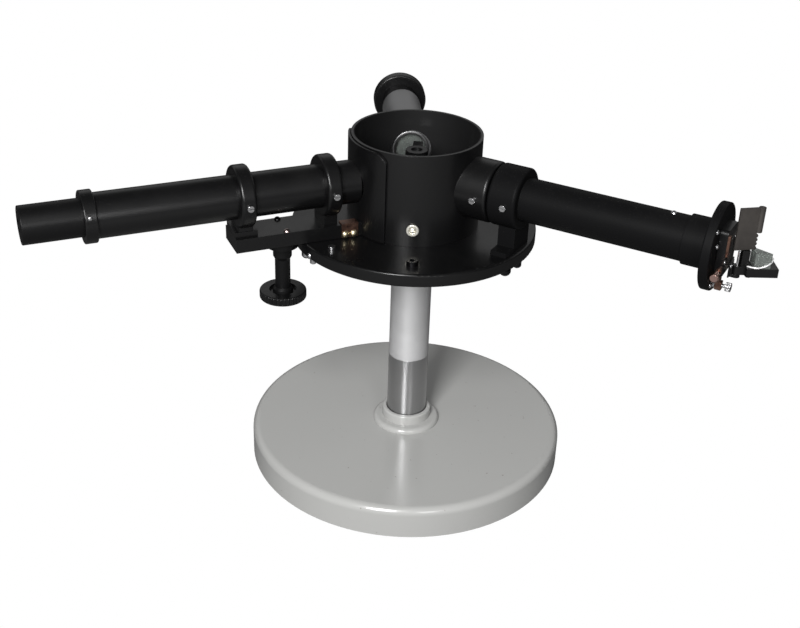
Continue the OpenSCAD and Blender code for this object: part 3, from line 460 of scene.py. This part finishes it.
# %% Lines on the scale glass
GLASS_FACE, LINE_PITCH, LINE_FOOT = 129.87, 0.3, -1.0
LINE_DEPTH, LINE_WIDTH = 0.02, 0.07
shape = bmesh.new()
for k in range(-20, 21):
    tall = 3.2 if k % 10 == 0 else 2.5 if k % 5 == 0 else 1.7
    bar = bmesh.ops.create_cube(shape, size=1.0)["verts"]
    bmesh.ops.scale(shape, verts=bar, vec=Vector((LINE_DEPTH, LINE_WIDTH, tall)) * MM)
    middle = Vector((GLASS_FACE, k * LINE_PITCH, LINE_FOOT + tall / 2))
    bmesh.ops.translate(shape, verts=bar, vec=middle * MM)
lines = add_piece("scale_lines", shape, tube_frame(SCALE), "draw_black", "scale_head")
print("scale lines:", len(lines.data.polygons) // 6)

# %% [markdown]
# The photograph looks down a little from the front. The camera's place was found by laying the circles of
# base, disc and drum over the picture until they fitted. It rolls by two degrees, as a hand-held camera does,
# and its axes are worked out from the three angles, so that each of them can be changed alone.

# %% Camera
EYE = Vector((0.0, -0.68338, 0.47637))
PITCH, YAW, ROLL = math.radians(29.060), math.radians(-0.531), math.radians(2.081)
FOCAL_PX, WIDTH_PX = 1241.4, 800

look = Vector((math.sin(YAW) * math.cos(PITCH), math.cos(YAW) * math.cos(PITCH), -math.sin(PITCH)))
right = look.cross(Vector(UP)).normalized()
above = right.cross(look)
side = right * math.cos(ROLL) + above * math.sin(ROLL)
top = above * math.cos(ROLL) - right * math.sin(ROLL)
lens = bpy.data.cameras.new("photo_camera")
lens.sensor_width = 36.0
lens.lens = FOCAL_PX * lens.sensor_width / WIDTH_PX
camera = bpy.data.objects.new("photo_camera", lens)
camera.matrix_world = Matrix.Translation(EYE) @ Matrix((side, top, -look)).transposed().to_4x4()
bpy.context.scene.collection.objects.link(camera)
bpy.context.scene.camera = camera
print("lens mm:", round(lens.lens, 2))

# %% [markdown]
# The photograph was taken in a dim room with lamps beside the camera, and its background was made white
# later. Black paint shows that: faces seen at a grazing angle stay dark, because they mirror the room. So the
# floor is white to the camera only. To the object it is a grey sweep that gets darker towards the back.

# %% Floor
def white_to_camera(plain, kind):
    seen = plain.add("ShaderNodeLightPath", out="Is Camera Ray")
    white = plain.add(kind, None, {"Color": (1.0, 1.0, 1.0, 1.0)})
    return plain.add("ShaderNodeMixShader", None, {0: seen, 1: plain, 2: white})


mesh = bpy.data.meshes.new("floor")
shape = bmesh.new()
bmesh.ops.create_grid(shape, x_segments=8, y_segments=8, size=6.0)
shape.to_mesh(mesh)
shape.free()
floor = bpy.data.objects.new("floor", mesh)
bpy.context.scene.collection.objects.link(floor)
sweep, shader, place = open_finish("white_sweep", Roughness=0.9, Specular_IOR_Level=0.1)
tone = place.along(BACK).fade(-0.4, 0.3).blend((0.3, 0.3, 0.3), (0.05, 0.05, 0.05))
connect(tone, shader, "Base Color")
end = white_to_camera(Signal(shader.outputs[0]), "ShaderNodeEmission")
connect(end, sweep.node_tree.nodes["Material Output"], "Surface")
mesh.materials.append(sweep)
print("floor laid")

# %% [markdown]
# The room itself is the world. It was read from the satin parts: the top of the telescope's arm mirrors
# something pale low behind the instrument, so a lighter wall stands there, and its front half is a little
# lighter than the rest. What is left is a faint even grey. The camera again sees plain white.

# %% Dim room
world = bpy.data.worlds.new("studio")
bpy.context.scene.world = world
world.use_nodes = True
studio = world.node_tree.nodes["Background"]
way = Signal(studio.outputs[0]).add("ShaderNodeTexCoord", out="Generated")
rise = way.along(UP)
back = way.along(BACK)
wall = rise.fade(0.1, 0.3) * rise.fade(0.5, 0.75, 1.0, 0.0) * back.fade(0.1, 0.5)
front = (back * -1.0).fade(-0.1, 0.9)
room = wall * 0.45 + front * 0.3 + rise.fade(0.5, 1.0) * 0.04 + 0.035
connect(room.blend((0.0, 0.0, 0.0), (1.0, 1.0, 1.0)), studio, "Color")
end = white_to_camera(Signal(studio.outputs[0]), "ShaderNodeBackground")
connect(end, world.node_tree.nodes["World Output"], "Surface")
print("world nodes:", len(world.node_tree.nodes))

# %% [markdown]
# Two soft lamps stand in front, one on each side of the camera. The left one is the stronger and gives the
# narrow streak on the polished foot, and the right one gives the faint second streak beside it. Nothing hangs
# overhead, because the tops of the black tubes are dark in the photograph.

# %% Lamps
def lamp(name, place, aim, width, height, watts):
    data = bpy.data.lights.new(name, "AREA")
    data.shape = "RECTANGLE"
    data.size, data.size_y = width, height
    data.energy = watts
    stand = bpy.data.objects.new(name, data)
    stand.location = place
    stand.rotation_euler = (Vector(aim) - Vector(place)).to_track_quat("-Z", "Y").to_euler()
    bpy.context.scene.collection.objects.link(stand)
    print(name, "watts:", watts)


lamp("left_lamp", (-0.35, -1.25, 0.98), (0, 0, 0.12), 0.4, 0.8, 31.0)
lamp("right_lamp", (0.45, -1.4, 0.7), (0, 0, 0.15), 0.3, 0.5, 4.0)

# %% [markdown]
# The plain view transform keeps the tones as they were set. The finishes and the thin parts must not make the
# instrument any larger.

# %% Close the lesson
scene = bpy.context.scene
scene.view_settings.view_transform = "Standard"
